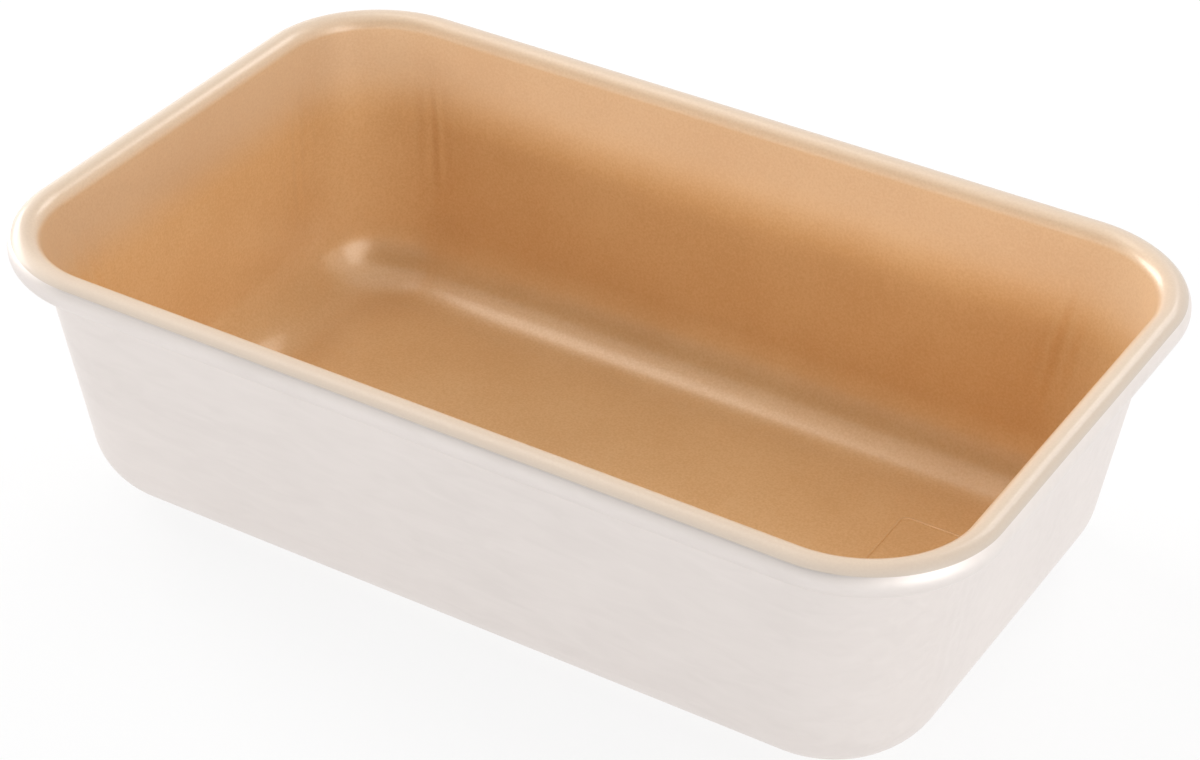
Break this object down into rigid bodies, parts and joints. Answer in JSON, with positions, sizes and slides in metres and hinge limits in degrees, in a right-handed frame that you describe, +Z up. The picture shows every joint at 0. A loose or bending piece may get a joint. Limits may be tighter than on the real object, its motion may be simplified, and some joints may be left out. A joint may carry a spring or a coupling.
{
  "type": "loaf pan",
  "caption": "Deep oblong baking pan with leaning walls, round corners and a rolled rim, gold non-stick inside and bare aluminium outside, for loaves of bread or cake.",
  "frame": {"origin": "middle of the underside, on the surface that the pan stands on", "axes": "+X along the pan's length, +Y across it, +Z up through the open mouth"},
  "size_m": [0.254, 0.16, 0.0725],
  "materials": {
    "aluminium_sheet": "satin mill finish with faint drawing streaks",
    "steel_wire": "galvanised, dull",
    "gold_nonstick": "matte metallic gold with a fine grain"
  },
  "bodies": {
    "root": {"pan_shell": "aluminium_sheet", "rim_wire": "steel_wire", "nonstick_coating": "gold_nonstick"}
  },
  "joints": []
}
